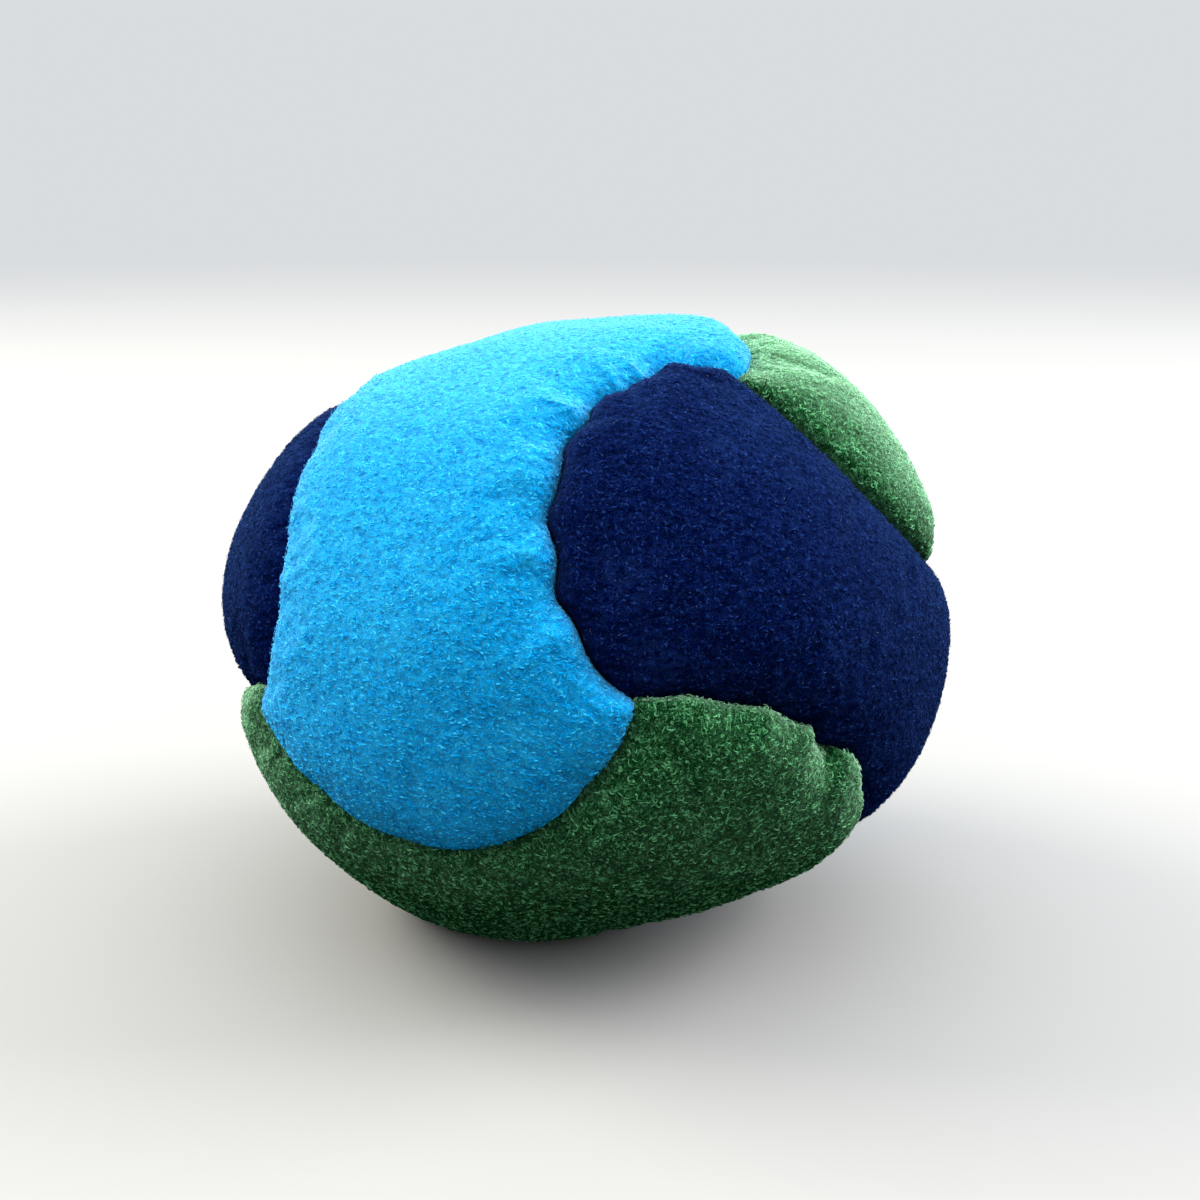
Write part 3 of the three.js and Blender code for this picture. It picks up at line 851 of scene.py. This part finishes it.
def rounded_path(bends, spacing):
    """The bends joined by a smooth line, with points evenly spaced along it."""
    for _ in range(2):
        first, last = bends[:-1], bends[1:]
        cut = np.stack([0.75 * first + 0.25 * last, 0.25 * first + 0.75 * last], axis=1)
        bends = np.concatenate([bends[:1], cut.reshape(-1, 3), bends[-1:]])
    return evenly_spaced(bends, max(3, round(lengths_along(bends)[-1] / spacing)))


def frames_along(path):
    """Two directions square to the path at each point, turning no more than they must."""
    ahead = unit(np.gradient(path, axis=0))
    side = unit(np.cross(ahead[0], [0.3, 0.5, 0.8]))
    sides = []
    for tangent in ahead:
        side = unit(side - tangent * (side @ tangent))
        sides.append(side)
    sides = np.array(sides)
    return sides, np.cross(ahead, sides)


def swept(path, radius, sides, first):
    """A closed tube along a path: its points, and its faces numbered from `first`."""
    side, other = frames_along(path)
    angles = np.linspace(0, 2 * np.pi, sides, endpoint=False)
    rings = [side * math.cos(angle) + other * math.sin(angle) for angle in angles]
    rings = path[:, None] + radius * np.stack(rings, axis=1)
    index = first + np.arange(len(path) * sides).reshape(len(path), sides)
    bands = [band_faces(index[i], index[i + 1]) for i in range(len(path) - 1)]
    caps = [index[:1, ::-1], index[-1:]]
    return rings.reshape(-1, 3), bands + caps


def make_stitching(seam):
    """A seam's sewing thread: three plies twisted together, in ladder stitches between knots."""
    bends = ladder_path(seam)
    path = rounded_path(bends, TWIST_PITCH / TWIST_STEPS)
    side, other = frames_along(path)
    twist = 2 * np.pi * np.arange(len(path)) / TWIST_STEPS
    points, faces, count = [], [], 0
    runs = []
    for ply in range(PLIES):
        angle = (twist + 2 * np.pi * ply / PLIES)[:, None]
        offset = PLY_OFFSET * (side * np.cos(angle) + other * np.sin(angle))
        runs.append((path + offset, PLY_RADIUS, PLY_SIDES))
    for end, after in ((bends[0], bends[1]), (bends[-1], bends[-2])):
        knot = knot_path(end, unit(after - end), KNOT_RADIUS)
        runs.append((knot, KNOT_THREAD, 2 * PLY_SIDES))
    for run in runs:
        ring_points, ring_faces = swept(*run, count)
        points.append(ring_points)
        faces += ring_faces
        count += len(ring_points)
    name = "stitching_" + seam.over + "_to_" + seam.under
    return new_mesh(name, np.concatenate(points), faces)


# --- Filling ---

PELLET_SIZE = 2.6  # across
FILL_GAP = 0.6  # between the pellets and the cloth
FILL_GROOVE = 3.4  # width of the groove that clears a turned-in edge
FILL_SIZE = 30  # its mean radius
PELLET_PATCH = 0.8  # of its size squared: the surface that each pellet takes up
PELLET_GAP = 0.6 * PELLET_SIZE  # the depth of the gaps between pellets
PELLET_SPHERE = 6  # times the filling's icosahedron is divided
GOLDEN_TURN = np.pi * (3 - math.sqrt(5))  # spreads points evenly over a sphere


def fill_radius(dirs):
    """How far the filling reaches: under the cloth, and clear of the turned-in edges."""
    distance = np.min([seam.measure(dirs)[0] for seam in seams], axis=0)
    lowest = min(puff for _, _, puff in PANELS.values())
    top = body_radius(dirs) + lowest - UNDER_DIP - CLOTH - FILL_GAP
    bottom = fold_radius(dirs) - ALLOWANCE - FILL_GAP
    share = np.clip(distance / FILL_GROOVE - 0.5, 0, 1)
    return bottom + (top - bottom) * share * share * (3 - 2 * share)


def make_pellets():
    """The loose filling, as the heap of pellets that shows when the cover is taken off."""
    mesh = bmesh.new()
    bmesh.ops.create_icosphere(mesh, subdivisions=PELLET_SPHERE, radius=1)
    dirs = np.array([vertex.co[:] for vertex in mesh.verts])
    faces = np.array([[vertex.index for vertex in face.verts] for face in mesh.faces])
    mesh.free()
    outer = fill_radius(dirs)
    count = round(4 * np.pi * FILL_SIZE**2 / (PELLET_PATCH * PELLET_SIZE**2))
    rng = np.random.default_rng(77)
    turn = np.arange(count) * GOLDEN_TURN + rng.normal(0, 0.02, count)
    height = 1 - 2 * (np.arange(count) + 0.5) / count
    ring = np.sqrt(1 - height**2)
    towards = np.stack([ring * np.cos(turn), ring * np.sin(turn), height], axis=1)
    towards = unit(towards + rng.normal(0, 0.012, (count, 3)))
    size = PELLET_SIZE / 2 * rng.uniform(0.85, 1.15, count)
    centres = towards * (fill_radius(towards) - size - 0.5 * rng.random(count))[:, None]
    radius = np.zeros(len(dirs))
    for part in np.array_split(np.arange(len(dirs)), 64):
        along = dirs[part] @ centres.T
        under = size**2 - ((centres**2).sum(axis=1) - along**2)
        reach = np.where((under > 0) & (along > 0), along + np.sqrt(np.maximum(under, 0)), 0)
        radius[part] = reach.max(axis=1)
    radius = np.minimum(np.maximum(radius, outer - PELLET_GAP), outer)
    points = dirs * radius[:, None]
    points[:, 2] = np.maximum(points[:, 2] + CENTRE_HEIGHT, CLOTH + FILL_GAP)
    obj = new_mesh("pellets", points, [faces])
    add_value(obj.data, "depth", outer - radius)
    return obj


# --- Materials ---

# Each cloth: its darker colour in the gaps between tufts, a painted shade that also darkens its creases
# and the roots of its fibres; on the tufts; at their tips; and seen at a glancing angle, the painted
# sheen's colour and the real sheen's tint; how much of it is tips; the tips' fineness per mm; how
# strong the painted sheen (a quarter of it sets the real sheen) and the brushed patches are; and how
# much lint it carries.
CLOTHS = {
    "cyan": {
        "gap": (0.0003, 0.200, 0.520),
        "tuft": (0.0005, 0.400, 0.860),
        "tip": (0.045, 0.640, 1.000),
        "sheen_colour": (0.260, 0.640, 0.960),
        "strands": 0.7,
        "fineness": 1.5,
        "rim": 0.50,
        "patch": 0.25,
        "lint": 0.02,
    },
    "navy": {
        "gap": (0.0002, 0.0010, 0.014),
        "tuft": (0.0004, 0.0042, 0.058),
        "tip": (0.014, 0.044, 0.200),
        "sheen_colour": (0.026, 0.062, 0.190),
        "strands": 0.6,
        "fineness": 2.0,
        "rim": 0.65,
        "patch": 0.25,
        "lint": 0.08,
    },
    "green": {
        "gap": (0.0008, 0.009, 0.002),
        "tuft": (0.007, 0.080, 0.020),
        "tip": (0.180, 0.600, 0.260),
        "sheen_colour": (0.400, 0.730, 0.480),
        "strands": 0.9,
        "fineness": 1.5,
        "rim": 0.95,
        "patch": 0.06,
        "lint": 0.03,
    },
}
LINT_COLOUR = (0.15, 0.19, 0.28)
THREAD_COLOURS = (0.004, 0.005, 0.016), (0.014, 0.018, 0.050)
THREAD_WORN = (0.030, 0.035, 0.070)
PELLET_COLOURS = (0.48, 0.36, 0.16), (0.72, 0.60, 0.34)
PELLET_MOTTLE = (0.34, 0.24, 0.10)
# the painted shade in the gaps between pellets
PELLET_GAP_SHADE = (0.050, 0.035, 0.015)
RELIEF_BASE = 0.12
RELIEF_SHARES = (0.5, 0.25, 0.25)  # of the nap, the clumps and the grain
CLUMPS = 1.1  # to the mm, like the three below
GRAIN = 5.0
PATCHES = 0.13
THREAD_FIBRES = 9.0
CREASE_START = 1.7  # how far the cloth dips before the painted crease shade starts
CREASE_FULL = 3.3
CREASE_SHADE = 0.75


class Shader:
    """A material's node tree, built up one node at a time."""

    def __init__(self, name):
        self.material = bpy.data.materials.new(name)
        self.material.use_nodes = True
        self.tree = self.material.node_tree
        self.tree.nodes.clear()

    @classmethod
    def for_world(cls, name):
        shader = cls.__new__(cls)
        world = bpy.data.worlds.new(name)
        world.use_nodes = True
        bpy.context.scene.world = world
        shader.tree = world.node_tree
        shader.tree.nodes.clear()
        return shader

    def node(self, kind, inputs=(), **settings):
        node = self.tree.nodes.new("ShaderNode" + kind)
        for key, value in settings.items():
            setattr(node, key, value)
        for socket, value in dict(inputs).items():
            self.put(node, socket, value)
        return node

    def put(self, node, socket, value):
        """Links a socket to another node's, or sets its plain value."""
        if isinstance(value, bpy.types.NodeSocket):
            self.tree.links.new(value, node.inputs[socket])
        else:
            node.inputs[socket].default_value = value

    def millimetres(self):
        """The place on the object, in mm."""
        place = self.node("TexCoord").outputs["Object"]
        scaled = self.node("VectorMath", {"Vector": place, "Scale": 1 / MM}, operation="SCALE")
        return scaled.outputs["Vector"]

    def attribute(self, name):
        return self.node("Attribute", attribute_name=name).outputs["Fac"]

    def math(self, operation, first, second=0.0, clamp=False):
        inputs = {0: first, 1: second}
        return self.node("Math", inputs, operation=operation, use_clamp=clamp).outputs[0]

    def plus(self, first, second):
        return self.math("ADD", first, second)

    def times(self, first, second):
        return self.math("MULTIPLY", first, second)

    def span(self, value, low, high, smooth=False):
        """0 up to `low`, 1 from `high`, and even in between."""
        kind = "SMOOTHSTEP" if smooth else "LINEAR"
        inputs = {"Value": value, "From Min": low, "From Max": high}
        return self.node("MapRange", inputs, interpolation_type=kind).outputs["Result"]

    def noise(self, place, scale, detail=2.0, twist=0.0):
        inputs = {"Vector": place, "Scale": scale, "Detail": detail, "Distortion": twist}
        return self.node("TexNoise", inputs).outputs["Fac"]

    def mix(self, share, first, second):
        node = self.node("Mix", {0: share}, data_type="RGBA")
        for socket, value in ((6, first), (7, second)):
            plain = isinstance(value, tuple)
            self.put(node, socket, (*value, 1) if plain else value)
        return node.outputs[2]

    def finish(self, colour, roughness, normal=None, **extra):
        inputs = {"Base Color": colour, "Roughness": roughness}
        if normal:
            inputs["Normal"] = normal
        inputs.update({key.replace("_", " "): value for key, value in extra.items()})
        self.surface(self.node("BsdfPrincipled", inputs))
        return self.material

    def surface(self, node, kind="OutputMaterial"):
        self.node(kind, {"Surface": node.outputs[0]})


def strands(shader, place, fineness, width):
    """Thin curling lines, like short fibres lying on the cloth."""
    field = shader.noise(place, fineness, 1.5, 2.2)
    off = shader.math("ABSOLUTE", shader.math("SUBTRACT", field, 0.5))
    return shader.span(off, width, 0.0, smooth=True)


def painted_crease_shade(shader, tint, cloth):
    """Painted shade: darker where the cloth turns down into a seam."""
    crease = shader.span(shader.attribute("sunken"), CREASE_START, CREASE_FULL, smooth=True)
    return shader.mix(shader.times(crease, CREASE_SHADE), tint, cloth["gap"])


def painted_sheen(shader, tint, cloth, normal):
    """Painted sheen: the nap drawn lighter where it is seen from the side and faces up, where light
    from above reaches it.
    """
    seen = shader.node("NewGeometry").outputs["Incoming"]
    facing = shader.node("VectorMath", {0: normal, 1: seen}, operation="DOT_PRODUCT").outputs["Value"]
    turned_away = shader.math("SUBTRACT", 1.0, facing, clamp=True)
    share = shader.times(shader.math("POWER", turned_away, 2.0), cloth["rim"])
    upward = shader.node("SeparateXYZ", {"Vector": normal}).outputs["Z"]
    lit = shader.span(upward, -0.7, 0.4)
    return shader.mix(shader.times(share, lit), tint, cloth["sheen_colour"])


def suede_material(colour):
    """Suede between its fibres: clumps, grain and thin lying strands, with brushed patches, painted
    shade in the low parts of the nap and in the creases, and a painted sheen.
    """
    cloth = CLOTHS[colour]
    shader = Shader(colour + "_suede")
    place = shader.millimetres()
    nap = shader.attribute("nap")

    clumps = shader.noise(place, CLUMPS, 3.0, 0.6)
    grain = shader.noise(place, GRAIN, 2.0, 0.8)
    height = RELIEF_BASE
    for part, share in zip((nap, clumps, grain), RELIEF_SHARES):
        height = shader.plus(height, shader.times(part, share))
    # Painted shade: the low parts of the nap's relief take the darker gap colour.
    body = shader.mix(shader.span(height, 0.25, 0.85), cloth["gap"], cloth["tuft"])

    long_fibres = strands(shader, place, cloth["fineness"], 0.05)
    moved = shader.node("VectorMath", {0: place, 1: (31.0, 17.0, 5.0)}).outputs["Vector"]
    short_fibres = strands(shader, moved, cloth["fineness"] * 1.7, 0.06)
    fibres = shader.math("MAXIMUM", long_fibres, shader.times(short_fibres, 0.7))
    lifted = shader.times(fibres, shader.span(height, 0.2, 0.7))
    tint = shader.mix(shader.times(lifted, cloth["strands"]), body, cloth["tip"])

    patches = shader.noise(place, PATCHES, 3.0, 0.5)
    rubbed = shader.times(shader.span(patches, 0.5, 0.72, smooth=True), cloth["patch"])
    tint = shader.mix(rubbed, tint, cloth["tip"])
    # Painted shade where the cloth dips into a seam.
    tint = painted_crease_shade(shader, tint, cloth)

    # Painted sheen where the nap faces up and turns away from the camera.
    tint = painted_sheen(shader, tint, cloth, shader.node("NewGeometry").outputs["Normal"])

    relief = shader.plus(height, shader.times(fibres, 0.5))
    inputs = {"Height": relief, "Strength": 0.9, "Distance": 0.15 * MM}
    bump = shader.node("Bump", inputs).outputs["Normal"]
    return shader.finish(
        tint,
        0.95,
        bump,
        Specular_IOR_Level=0.0,
        Sheen_Weight=0.25 * cloth["rim"],
        Sheen_Roughness=0.5,
        Sheen_Tint=(*cloth["sheen_colour"], 1),
    )


def fibre_material(colour):
    """Single fibres, no two quite alike, with painted shade at their roots and in the creases and a
    painted sheen.
    """
    cloth = CLOTHS[colour]
    shader = Shader(colour + "_fibre")
    hair = shader.node("HairInfo")
    chance = hair.outputs["Random"]
    dim = shader.mix(0.5, cloth["tuft"], cloth["gap"])
    tint = shader.mix(shader.span(chance, 0.0, 0.45), dim, cloth["tuft"])
    tint = shader.mix(shader.span(chance, 0.5, 1.0), tint, cloth["tip"])
    # Painted shade at each fibre's root, darkening it to the gap colour.
    tint = shader.mix(shader.span(hair.outputs["Intercept"], 0.5, 0.05), tint, cloth["gap"])
    # Painted shade on fibres whose roots dip into a seam.
    tint = painted_crease_shade(shader, tint, cloth)
    # Painted sheen on the fibres, by the cloth's normal at their roots.
    skin = shader.node("Attribute", attribute_name="skin").outputs["Vector"]
    tint = painted_sheen(shader, tint, cloth, skin)
    tint = shader.mix(shader.attribute("lint"), tint, LINT_COLOUR)
    return shader.finish(tint, 0.9, Specular_IOR_Level=0.0)


def thread_material():
    shader = Shader("thread")
    place = shader.millimetres()
    fibre = shader.noise(place, THREAD_FIBRES, 3.0, 0.4)
    wear = shader.noise(place, 0.8, 2.0)
    tint = shader.mix(shader.span(fibre, 0.3, 0.7), *THREAD_COLOURS)
    tint = shader.mix(shader.times(wear, 0.3), tint, THREAD_WORN)
    bump = shader.node("Bump", {"Height": fibre, "Strength": 0.6, "Distance": 0.03 * MM})
    return shader.finish(tint, 0.55, bump.outputs["Normal"], Sheen_Weight=0.2)


def pellet_material():
    shader = Shader("pellets")
    place = shader.millimetres()
    cells = shader.node("TexVoronoi", {"Vector": place, "Scale": 1 / PELLET_SIZE})
    chance = shader.node("SeparateColor", {"Color": cells.outputs["Color"]}).outputs[0]
    mottle = shader.noise(place, 1.6, 3.0)
    tint = shader.mix(chance, *PELLET_COLOURS)
    tint = shader.mix(shader.times(mottle, 0.4), tint, PELLET_MOTTLE)
    # Painted shade: darker where the surface sinks into the gaps between pellets.
    painted_gap_shade = shader.span(shader.attribute("depth"), 0.0, 0.7 * PELLET_SIZE)
    tint = shader.mix(shader.times(painted_gap_shade, 0.8), tint, PELLET_GAP_SHADE)
    bump = shader.node("Bump", {"Height": mottle, "Strength": 0.4, "Distance": 0.05 * MM})
    return shader.finish(tint, 0.45, bump.outputs["Normal"])


# --- Stage ---

CAMERA_DISTANCE = 165.0
CAMERA_ELEVATION = 16.0
CAMERA_LENS = 50
AIM_RIGHT = 1.25  # of the ball's centre
AIM_ABOVE = 2.50
FLOOR_REACH = 20.0  # in metres
FLOOR_FADE = (0.25, 0.9)  # in metres from the ball
FLOOR_COLOUR = (0.30, 0.30, 0.295)
FLOOR_BOUNCE = (0.03, 0.03, 0.028)  # what it sends back up on to the ball
BACKDROP = (0.70, 0.72, 0.74)
ZENITH = (2.6, 2.65, 2.75)  # the softbox overhead
HORIZON = (0.155, 0.16, 0.17)
BLACK = (0.0, 0.0, 0.0)
FRONT_SHADE = 0.35  # how much less light comes from the camera's side
LIGHT_DISTANCE = 0.9  # in metres
LIGHT_SIZE = 0.5
LIGHTS = {  # azimuth and elevation in degrees, power in watts and colour
    "key": (-110, 34, 10.5, (1.0, 0.96, 0.80)),
    "rim": (103, 30, 11.0, (1.0, 0.99, 0.96)),
}


def make_camera():
    camera = bpy.data.cameras.new("camera")
    camera.lens, camera.sensor_width = CAMERA_LENS, 36
    camera.clip_start, camera.clip_end = 0.01, 20
    obj = add_object("camera", camera)
    bpy.context.scene.camera = obj
    back = direction(0, CAMERA_ELEVATION)
    up = direction(180, 90 - CAMERA_ELEVATION)
    aim = np.array([AIM_RIGHT, 0, CENTRE_HEIGHT]) + up * AIM_ABOVE
    obj.location = (aim + back * CAMERA_DISTANCE) * MM
    obj.rotation_euler = (math.radians(90 - CAMERA_ELEVATION), 0, 0)


def make_floor():
    """A pale floor that fades into the backdrop's colour before it ends."""
    bpy.ops.mesh.primitive_plane_add(size=2 * FLOOR_REACH)
    floor = bpy.context.object
    floor.name = "floor"
    shader = Shader("floor")
    place = shader.node("TexCoord").outputs["Object"]
    away = shader.node("VectorMath", {0: place}, operation="LENGTH").outputs["Value"]
    seen = shader.node("LightPath").outputs["Is Camera Ray"]
    tint = shader.mix(seen, FLOOR_BOUNCE, FLOOR_COLOUR)
    surface = shader.node("BsdfPrincipled", {"Base Color": tint, "Roughness": 0.9})
    glow = shader.node("Emission", {"Color": shader.mix(seen, FLOOR_BOUNCE, BACKDROP)})
    share = shader.span(away, FLOOR_FADE[0], FLOOR_FADE[1], smooth=True)
    both = shader.node("MixShader", {0: share, 1: surface.outputs[0], 2: glow.outputs[0]})
    shader.surface(both)
    floor.data.materials.append(shader.material)


def add_light(name, azimuth, elevation, power, colour):
    light = bpy.data.lights.new(name, "AREA")
    light.energy, light.size, light.color = power, LIGHT_SIZE, colour
    obj = add_object(name, light)
    towards = direction(azimuth, elevation)
    obj.location = towards * LIGHT_DISTANCE + np.array([0, 0, CENTRE_HEIGHT * MM])
    obj.rotation_euler = (math.radians(90 - elevation), 0, math.radians(azimuth))


def make_light():
    for name, placed in LIGHTS.items():
        add_light(name, *placed)
    shader = Shader.for_world("studio")
    ray = shader.node("TexCoord").outputs["Generated"]
    parts = shader.node("SeparateXYZ", {"Vector": ray}).outputs
    height = shader.span(parts["Z"], 0.05, 0.75, smooth=True)
    light = shader.mix(height, HORIZON, ZENITH)
    front = shader.times(shader.span(parts["Y"], 0.3, -0.9, smooth=True), FRONT_SHADE)
    light = shader.mix(front, light, BLACK)
    seen = shader.node("LightPath").outputs["Is Camera Ray"]
    tint = shader.mix(seen, light, BACKDROP)
    shader.surface(shader.node("Background", {"Color": tint}), "OutputWorld")
    bpy.context.scene.view_settings.view_transform = "Standard"


# --- The scene ---


def dress(obj, material, replaced=None):
    """Gives a piece its material and its place in the frame."""
    obj.data.materials.append(material)
    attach(obj, "root")
    if replaced:
        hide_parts(replaced)


faces = panel_faces()
suedes = {colour: suede_material(colour) for colour in CLOTHS}
fibres = {colour: fibre_material(colour) for colour in CLOTHS}
for number, (name, (_, colour, _)) in enumerate(PANELS.items()):
    panel, points, normals = make_panel(name, faces[name], 100 + 10 * number)
    dress(panel, suedes[colour], "panel_" + name)
    fuzz = make_fibres(name, points, normals, *faces[name][2:], 200 + number)
    dress(fuzz, fibres[colour])

sewing = thread_material()
for seam in seams:
    replaced = "thread_" + seam.over + "_to_" + seam.under
    dress(make_stitching(seam), sewing, replaced)

dress(make_pellets(), pellet_material(), "pellet_filling")

make_floor()
make_light()
make_camera()
